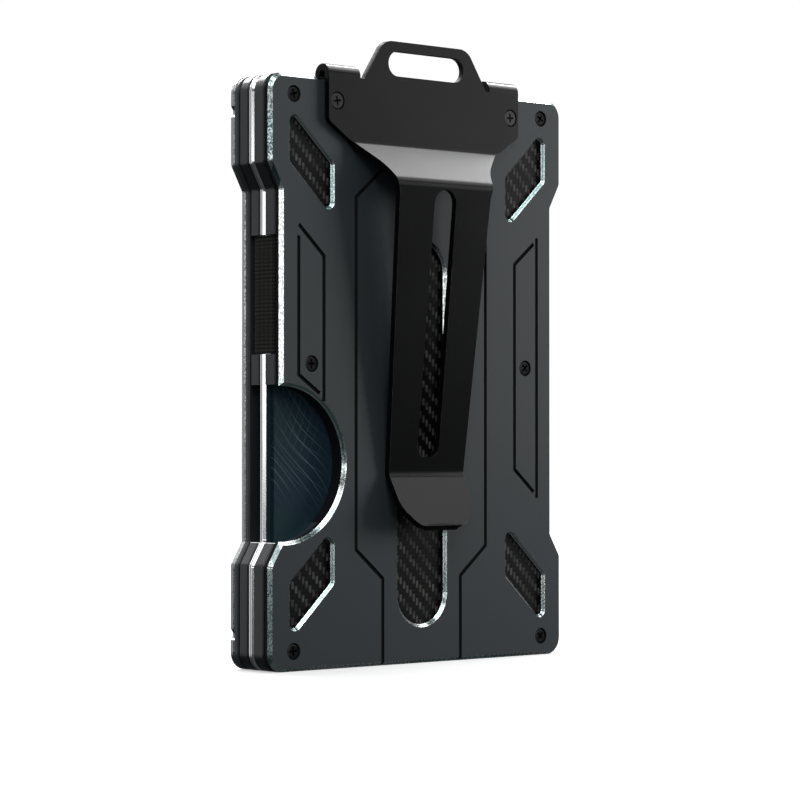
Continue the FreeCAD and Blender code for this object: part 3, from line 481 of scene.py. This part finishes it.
def card_material():
    """Dark teal plastic card with fine pale contour lines that cross near its upper end."""
    shade = Shade("card_dark_teal", roughness=0.5, specular=0.1)
    _, _, z = shade.place()
    tint = shade.ramp(shade.noise(46.0, 2.0), 0.35, 0.65)
    ground = shade.mix(tint, (0.015, 0.043, 0.051), (0.016, 0.034, 0.056))
    sweep = ring_lines(shade, (-0.060, 0.002), 1.5 * MM, 0.05, 13.0 * MM)
    fall = ring_lines(shade, (0.006, 0.056), 1.9 * MM, 0.04, -16.0 * MM)
    rise = ring_lines(shade, (-0.052, 0.047), 1.3 * MM, 0.05, 9.0 * MM)
    fade_low = shade.ramp(z, 0.022, 0.030)
    upper = shade.ramp(z, 0.030, 0.038)
    fade_side = shade.ramp(shade.noise(80.0, 1.0), 0.42, 0.58, 0.2, 1.0)
    crossing = shade.math("MULTIPLY", shade.math("MULTIPLY", rise, upper), 0.8)
    lines = shade.math("MAXIMUM", shade.math("MAXIMUM", sweep, crossing), shade.math("MULTIPLY", fall, 0.5))
    lines = shade.math("MULTIPLY", shade.math("MULTIPLY", lines, fade_low), fade_side)
    shade.set(Base_Color=shade.mix(shade.math("MULTIPLY", lines, 0.5), ground, (0.30, 0.40, 0.44)))
    shade.bump(shade.noise(2000.0, 2.0), 0.004 * MM, 0.3)
    return shade.material


def pin_material():
    """Plain drawn steel."""
    shade = Shade("pin_steel", metallic=1.0, roughness=0.3)
    drawn = shade.noise(900.0, 3.0, (1.0, 1.0, 0.05))
    shade.set(Base_Color=shade.mix(drawn, (0.5, 0.5, 0.5), (0.66, 0.66, 0.67)))
    shade.bump(drawn, FINE_BUMP, 0.3)
    return shade.material


def paint(piece, material):
    """Give a piece one material."""
    piece.data.materials.clear()
    piece.data.materials.append(material)


def paint_cad_nodes():
    """Give every CAD node that stays in view its material."""
    front = cover_material("cover_front_anodised", FRONT_FACE_Y, 1.0, False)
    rear = cover_material("cover_rear_anodised", REAR_FACE_Y, -1.0, True)
    paint(NODES["front_cover"], front)
    paint(NODES["rear_cover"], rear)
    plate = inner_plate_material()
    for name in ("front_inner_plate", "rear_inner_plate"):
        paint(NODES[name], plate)
    paint(NODES["rear_backing_plate"], backing_plate_material())
    paint(NODES["divider_plate"], divider_material())
    carbon = carbon_material()
    for side in ("front", "rear"):
        for corner in (*CORNERS, "center"):
            paint(NODES[f"{side}_inlay_{corner}"], carbon)
    oxide = (0.011, 0.012, 0.013)
    clip_face_y = FRONT_FACE_Y - SHEET_MM * MM
    paint(NODES["front_cover_screws"], screw_material("front_screw_black", FRONT_FACE_Y, 1.0, 0.12, oxide))
    paint(NODES["rear_cover_screws"], screw_material("rear_screw_black", REAR_FACE_Y, -1.0, 0.12, oxide))
    coated = (0.003, 0.003, 0.003)
    paint(NODES["clip_screws"], screw_material("clip_screw_black", clip_face_y, 1.0, 0.48, coated))
    paint(NODES["bank_card"], card_material())
    pins = pin_material()
    for name in ("front_strap_pins", "rear_strap_pins"):
        paint(NODES[name], pins)


# ---- Mesh helpers ----------------------------------------------------------------------------

def rounded(points, radii, steps=8):
    """Return a chain of 2-D points with its corners rounded; a radius of 0 keeps a corner."""
    result = []
    last = len(points) - 1
    for index, (point, radius) in enumerate(zip(points, radii)):
        here = Vector(point)
        if radius == 0 or index in (0, last):
            result.append(here)
            continue
        back = (Vector(points[index - 1]) - here).normalized()
        ahead = (Vector(points[index + 1]) - here).normalized()
        half = back.angle(ahead) / 2
        reach = radius / math.tan(half)
        center = here + (back + ahead).normalized() * (radius / math.sin(half))
        first = here + back * reach - center
        turn = first.angle_signed(here + ahead * reach - center)
        for step in range(steps + 1):
            angle = -turn * step / steps
            spun = Vector((
                first.x * math.cos(angle) - first.y * math.sin(angle),
                first.x * math.sin(angle) + first.y * math.cos(angle)))
            result.append(center + spun)
    return result


def offset_chain(points, distance):
    """Return a chain of 2-D points moved sideways, to its right for a positive distance."""
    spots = [Vector(point) for point in points]
    moved = []
    for index, here in enumerate(spots):
        sides = []
        if index > 0:
            sides.append((here - spots[index - 1]).normalized())
        if index < len(spots) - 1:
            sides.append((spots[index + 1] - here).normalized())
        normals = [Vector((side.y, -side.x)) for side in sides]
        total = normals[0] + normals[-1]
        share = 1.0 / (1.0 + normals[0].dot(normals[-1]))
        moved.append(here + total * (distance * share))
    return moved


def finish_mesh(name, mesh, angle):
    """Link a mesh as an object, smooth but for edges sharper than an angle in degrees."""
    for polygon in mesh.polygons:
        polygon.use_smooth = True
    mesh.set_sharp_from_angle(angle=math.radians(angle))
    piece = bpy.data.objects.new(name, mesh)
    bpy.context.scene.collection.objects.link(piece)
    return piece


def apply_modifiers(piece):
    """Make a piece's modifiers part of its mesh."""
    depsgraph = bpy.context.evaluated_depsgraph_get()
    mesh = bpy.data.meshes.new_from_object(piece.evaluated_get(depsgraph))
    piece.modifiers.clear()
    piece.data = mesh


# ---- Money clip ------------------------------------------------------------------------------

def clip_outline_mm():
    """Return the clip's flat outline with its two slots and two bores, seen from the front."""
    corners = [
        ((0.0, 21.33), 0),
        ((4.6, 21.33), 2.6),
        ((7.45, 24.3), 4.0),
        ((7.74, 29.43), 5.0),
        ((9.5, 72.8), 4.0),
        ((10.6, 76.4), 6.0),
        ((15.2, 80.28), 0.8),
        ((19.89, 83.34), 1.1),
        ((19.89, FOLD_CENTER_MM[1]), 0),
        ((FOLD_INNER_MM, FOLD_CENTER_MM[1]), 0),
        ((FOLD_INNER_MM, 90.2), 0.0),
        ((12.68, 90.2), 0.3),
        ((12.2, 91.1), 0.5),
        ((8.7, 96.48), 3.0),
        ((0.0, 96.48), 0),
    ]
    right = rounded([point for point, _ in corners], [radius for _, radius in corners], steps=12)
    left = [Vector((-point.x, point.y)) for point in right[1:-1]]
    outline = right + left[::-1]
    loop_end = (LOOP_SLOT_HALF_MM, LOOP_SLOT_HEIGHT_MM)
    loop_slot = slot_mm((-LOOP_SLOT_HALF_MM, LOOP_SLOT_HEIGHT_MM), loop_end, LOOP_SLOT_RADIUS_MM)
    arm_slot = slot_mm((0.0, ARM_SLOT_LOW_MM), (0.0, ARM_SLOT_HIGH_MM), ARM_SLOT_RADIUS_MM)
    screw_x, screw_z = CLIP_SCREW_MM
    bores = []
    for side in (-1, 1):
        center = (side * screw_x, screw_z)
        bores.append(slot_mm(center, center, CLIP_SCREW_BORE_MM))
    return [outline, loop_slot, arm_slot, *bores]


def slot_mm(start, finish, radius, steps=14):
    """Return the outline of a round-ended slot."""
    first = Vector(start)
    second = Vector(finish)
    heading = math.atan2(second.y - first.y, second.x - first.x)
    points = []
    for center, base in ((second, -math.pi / 2), (first, math.pi / 2)):
        for step in range(steps + 1):
            angle = heading + base + math.pi * step / steps
            points.append(center + Vector((math.cos(angle), math.sin(angle))) * radius)
    return points


def clip_profile_mm():
    """Return the sheet's middle line as stand-off and height, from the top down."""
    middle = offset_chain(CLIP_FRONT_MM, SHEET_MM / 2)
    return rounded([tuple(point) for point in middle], BEND_RADII_MM, steps=9)


def stand_off_mm(profile, height):
    """Return how far the sheet's middle stands off at a height."""
    for upper, lower in zip(profile, profile[1:]):
        if lower.y <= height <= upper.y:
            share = (upper.y - height) / (upper.y - lower.y)
            return upper.x + (lower.x - upper.x) * share
    if height > profile[0].y:
        return profile[0].x
    upper, lower = profile[-2:]
    return lower.x + (lower.x - upper.x) * (lower.y - height) / (upper.y - lower.y)


def flat_sheet(loops):
    """Fill 2-D loops, in millimetres, and return the result as a flat bmesh in X and Z."""
    curve = bpy.data.curves.new("clip_flat", "CURVE")
    curve.dimensions = "2D"
    curve.fill_mode = "BOTH"
    for loop in loops:
        spline = curve.splines.new("POLY")
        spline.points.add(len(loop) - 1)
        for point, spot in zip(spline.points, loop):
            point.co = (spot.x, spot.y, 0.0, 1.0)
        spline.use_cyclic_u = True
    carrier = bpy.data.objects.new("clip_flat", curve)
    bpy.context.scene.collection.objects.link(carrier)
    flat = bpy.data.meshes.new_from_object(carrier.evaluated_get(bpy.context.evaluated_depsgraph_get()))
    sheet = bmesh.new()
    sheet.from_mesh(flat)
    bpy.data.objects.remove(carrier)
    bpy.data.curves.remove(curve)
    bpy.data.meshes.remove(flat)
    bmesh.ops.remove_doubles(sheet, verts=sheet.verts, dist=1e-4)
    for vertex in sheet.verts:
        vertex.co = (vertex.co.x, 0.0, vertex.co.y)
    return sheet


def cut_at_height(sheet, height):
    """Cut the flat sheet along one level line, so that it can bend there."""
    bmesh.ops.bisect_plane(
        sheet, geom=sheet.verts[:] + sheet.edges[:] + sheet.faces[:],
        plane_co=(0, 0, height), plane_no=(0, 0, 1), dist=1e-5)


def add_folds(sheet):
    """Carry the two upper corners of the sheet over the cover's edge and down behind it."""
    center_d, center_z = FOLD_CENTER_MM
    path = []
    for step in range(1, FOLD_STEPS + 1):
        angle = math.pi * step / FOLD_STEPS
        stand_off = center_d + FOLD_RADIUS_MM * math.cos(angle)
        path.append((stand_off, center_z + FOLD_RADIUS_MM * math.sin(angle)))
    path.append((center_d - FOLD_RADIUS_MM, LEAF_LOW_MM))
    rim = [
        edge for edge in sheet.edges
        if len(edge.link_faces) == 1
        and all(abs(v.co.z - center_z) < 1e-3 and abs(v.co.x) > FOLD_INNER_MM - 0.01 for v in edge.verts)]
    for stand_off, height in path:
        grown = bmesh.ops.extrude_edge_only(sheet, edges=rim)["geom"]
        rim = [item for item in grown if isinstance(item, bmesh.types.BMEdge)]
        for vertex in {v for edge in rim for v in edge.verts}:
            vertex.co.y = -stand_off
            vertex.co.z = height


def flat_directions(profile):
    """Return the directions that the sheet's flat stretches face."""
    directions = []
    for upper, lower in zip(profile, profile[1:]):
        run = lower - upper
        if run.length > FLAT_RUN_MM:
            directions.append(Vector((0.0, run.y, run.x)).normalized())
    return directions


def settle_normals(mesh, flats):
    """Shade the sheet's faces by themselves: flat stretches truly flat, bends smooth between them."""
    touching = {}
    for polygon in mesh.polygons:
        if polygon.material_index == 0:
            for vertex in polygon.vertices:
                rounded_off = tuple(round(part, 3) for part in polygon.normal)
                touching.setdefault(vertex, {})[rounded_off] = polygon.normal.copy()
    settled = {}
    for vertex, normals in touching.items():
        level = [n for n in normals.values() if any(abs(n.dot(flat)) > 0.9999 for flat in flats)]
        settled[vertex] = level[0] if level else sum(normals.values(), Vector()).normalized()
    usual = [corner.vector.copy() for corner in mesh.corner_normals]
    mesh.normals_split_custom_set([
        settled.get(loop.vertex_index, normal) for loop, normal in zip(mesh.loops, usual)])


def clip_sheet_mesh(profile):
    """Return the clip's middle sheet: cut flat, bent along its profile and folded over the edge."""
    sheet = flat_sheet(clip_outline_mm())
    for height in [point.y for point in profile[1:-1]] + [FOLD_CENTER_MM[1] - FOLD_SUPPORT_MM]:
        cut_at_height(sheet, height)
    for vertex in sheet.verts:
        vertex.co.y = -stand_off_mm(profile, vertex.co.z)
    add_folds(sheet)
    for vertex in sheet.verts:
        vertex.co = Vector((0.0, FRONT_FACE_Y, 0.0)) + vertex.co * MM
    bmesh.ops.recalc_face_normals(sheet, faces=sheet.faces)
    mesh = bpy.data.meshes.new("money_clip")
    sheet.to_mesh(mesh)
    sheet.free()
    return mesh


def thicken_clip(piece):
    """Give the clip's sheet its thickness and its broken edges."""
    solid = piece.modifiers.new("sheet", "SOLIDIFY")
    solid.thickness = SHEET_MM * MM
    solid.offset = 0.0
    solid.use_even_offset = True
    solid.use_quality_normals = True
    solid.material_offset_rim = 1
    edge = piece.modifiers.new("edges", "BEVEL")
    edge.width = BROKEN_EDGE_MM * MM
    edge.material = 2
    edge.segments = 3
    edge.limit_method = "ANGLE"
    edge.angle_limit = math.radians(50)


def make_clip():
    """Build the whole money clip as one bent sheet."""
    profile = clip_profile_mm()
    piece = finish_mesh("money_clip", clip_sheet_mesh(profile), angle=30)
    thicken_clip(piece)
    paint(piece, clip_material())
    piece.data.materials.append(clip_rim_material())
    piece.data.materials.append(clip_edge_material())
    apply_modifiers(piece)
    settle_normals(piece.data, flat_directions(profile))
    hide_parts("money_clip_base", "money_clip_arm")
    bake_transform(piece)


# ---- Elastic straps --------------------------------------------------------------------------

def strap_path(side, low, high):
    """Return the middle line of a strap's section: in under one cover, round the edge, and back."""
    thick = STRAP_THICK
    outer = high.x if side > 0 else low.x
    inner = low.x if side > 0 else high.x
    web = outer - side * thick / 2
    front = low.y + thick / 2
    back = high.y - thick / 2
    corners = [(inner, front), (web, front), (web, back), (inner, back)]
    return rounded(corners, [0, STRAP_BEND, STRAP_BEND, 0], steps=12)


def resample(points, count):
    """Return evenly spaced points along a chain."""
    lengths = [0.0]
    for first, second in zip(points, points[1:]):
        lengths.append(lengths[-1] + (second - first).length)
    result = []
    segment = 0
    for index in range(count):
        target = lengths[-1] * index / (count - 1)
        while segment < len(points) - 2 and lengths[segment + 1] < target:
            segment += 1
        span = max(lengths[segment + 1] - lengths[segment], 1e-9)
        share = (target - lengths[segment]) / span
        result.append(points[segment].lerp(points[segment + 1], share))
    return result


def strap_sheet_mesh(name, path, low_z, high_z):
    """Return a strap's middle sheet, rippled by its ribs and cords."""
    sheet = bmesh.new()
    grid = []
    for row in range(STRAP_ROWS):
        share = row / (STRAP_ROWS - 1)
        z = low_z + STRAP_END_ROOM + (high_z - low_z - 2 * STRAP_END_ROOM) * share
        line = []
        for index, point in enumerate(path):
            before = path[max(index - 1, 0)]
            after = path[min(index + 1, len(path) - 1)]
            along = (after - before).normalized()
            outward = Vector((along.y, -along.x))
            cord = STRAP_CORD_LIFT_MM * math.sin(math.tau * index / STRAP_CORD_POINTS)
            lift = (STRAP_RIB_LIFT_MM * math.sin(math.tau * z / STRAP_RIB) + cord) * MM
            spot = point + outward * lift
            line.append(sheet.verts.new((spot.x, spot.y, z)))
        grid.append(line)
    for first, second in zip(grid, grid[1:]):
        for index in range(len(path) - 1):
            sheet.faces.new((first[index], first[index + 1], second[index + 1], second[index]))
    bmesh.ops.recalc_face_normals(sheet, faces=sheet.faces)
    mesh = bpy.data.meshes.new(name)
    sheet.to_mesh(mesh)
    sheet.free()
    return mesh


def make_strap(side, label, material):
    """Build one woven elastic strap with raised ribs."""
    node = f"elastic_strap_{label}"
    name = f"woven_strap_{label}"
    low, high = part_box(node)
    path = resample(strap_path(side, low, high), STRAP_POINTS)
    piece = finish_mesh(name, strap_sheet_mesh(name, path, low.z, high.z), angle=60)
    solid = piece.modifiers.new("band", "SOLIDIFY")
    solid.thickness = STRAP_BAND
    solid.offset = 0.0
    apply_modifiers(piece)
    paint(piece, material)
    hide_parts(node)
    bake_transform(piece)


# ---- Stage -----------------------------------------------------------------------------------

def make_floor():
    """Lay a plain pale floor that neither lights the wallet nor shows in its polished faces."""
    mesh = bpy.data.meshes.new("floor")
    half = 0.45
    corners = [(-half, -half, 0), (half, -half, 0), (half, half, 0), (-half, half, 0)]
    mesh.from_pydata(corners, [], [(0, 1, 2, 3)])
    floor = bpy.data.objects.new("floor", mesh)
    bpy.context.scene.collection.objects.link(floor)
    floor.visible_diffuse = False
    floor.visible_glossy = False
    shade = Shade("floor_white", roughness=0.9, specular=0.0)
    shade.set(
        Base_Color=shade.mix(shade.noise(30.0, 2.0), (0.86, 0.86, 0.86), (0.9, 0.9, 0.9)),
        Emission_Color=(1.0, 1.0, 1.0),
        Emission_Strength=0.45,
    )
    paint(floor, shade.material)


def make_world():
    """Set a white backdrop to look at, and a dim grey room to be lit by."""
    world = bpy.data.worlds.new("studio")
    bpy.context.scene.world = world
    world.use_nodes = True
    tree = world.node_tree
    tree.nodes.clear()
    output = tree.nodes.new("ShaderNodeOutputWorld")
    seen = tree.nodes.new("ShaderNodeBackground")
    seen.inputs["Color"].default_value = (1.0, 1.0, 1.0, 1.0)
    seen.inputs["Strength"].default_value = 1.02
    room = tree.nodes.new("ShaderNodeBackground")
    room.inputs["Color"].default_value = (0.9, 0.97, 1.0, 1.0)
    room.inputs["Strength"].default_value = 0.055
    path = tree.nodes.new("ShaderNodeLightPath")
    mix = tree.nodes.new("ShaderNodeMixShader")
    tree.links.new(path.outputs["Is Camera Ray"], mix.inputs[0])
    tree.links.new(room.outputs[0], mix.inputs[1])
    tree.links.new(seen.outputs[0], mix.inputs[2])
    tree.links.new(mix.outputs[0], output.inputs["Surface"])


def add_softbox(name, toward, distance, size, brightness, color=(1.0, 1.0, 1.0)):
    """Hang a rectangular softbox in one direction from the wallet, by how bright its face looks."""
    light = bpy.data.lights.new(name, "AREA")
    light.shape = "RECTANGLE"
    light.size, light.size_y = size
    light.energy = 4.0 * brightness * size[0] * size[1]
    light.color = color
    lamp = bpy.data.objects.new(name, light)
    away = Vector(toward).normalized()
    lamp.location = WALLET_MIDDLE + away * distance
    lamp.rotation_euler = (-away).to_track_quat("-Z", "Y").to_euler()
    bpy.context.scene.collection.objects.link(lamp)


def make_lights():
    """Light the wallet from the right, with softboxes round about for its cut edges."""
    add_softbox("key_right", (0.88, -0.44, 0.16), 1.0, (0.4, 0.5), 4.0)
    add_softbox("horizon_right", (0.66, -0.75, 0.22), 1.0, (0.9, 0.38), 0.25)
    add_softbox("tip_right", (0.66, -0.43, 0.62), 0.9, (0.26, 0.26), 0.75)
    add_softbox("overhead_right", (0.64, -0.02, 0.76), 0.9, (0.5, 0.42), 2.6)
    add_softbox("overhead_strip", (0.66, 0.27, 0.70), 0.9, (0.5, 0.07), 18.0)
    add_softbox("overhead_front", (-0.2, -0.46, 0.87), 0.9, (0.3, 0.25), 3.0)
    add_softbox("overhead_back", (0.15, 0.75, 0.64), 0.9, (0.5, 0.2), 14.0)
    add_softbox("beside_camera", (-0.75, -0.66, 0.06), 0.9, (0.4, 0.14), 1.8)
    add_softbox("fill_left", (-0.5, -0.62, 0.6), 0.9, (0.5, 0.4), 2.2)
    add_softbox("front_low", (-0.21, -0.97, 0.1), 0.9, (0.16, 0.14), 3.5)
    add_softbox("far_right", (0.99, 0.1, 0.05), 0.9, (0.2, 0.2), 3.5)
    add_softbox("left_back", (-0.66, 0.75, 0.06), 1.0, (0.7, 0.7), 0.7)
    add_softbox("left_back_high", (-0.42, 0.75, 0.53), 0.9, (0.3, 0.2), 2.5)


def make_camera():
    """Set a long lens at the wallet's left front, level with its middle."""
    azimuth = math.radians(-41.6)
    pitch = math.radians(0.75)
    distance = 0.44856
    aim = Vector((-0.00261, 0.00018, 0.04104))
    level = math.cos(pitch)
    back = Vector((math.sin(azimuth) * level, -math.cos(azimuth) * level, -math.sin(pitch)))
    camera = bpy.data.cameras.new("camera")
    camera.lens = 129.2
    camera.sensor_width = 36.0
    camera.clip_start = 0.01
    viewer = bpy.data.objects.new("camera", camera)
    viewer.location = aim + back * distance
    viewer.rotation_euler = (-back).to_track_quat("-Z", "Y").to_euler()
    bpy.context.scene.collection.objects.link(viewer)
    bpy.context.scene.camera = viewer


make_camera()
paint_cad_nodes()
make_clip()
elastic = elastic_material()
make_strap(-1.0, "left", elastic)
make_strap(1.0, "right", elastic)
make_floor()
make_world()
make_lights()
bpy.context.scene.view_settings.view_transform = "Standard"
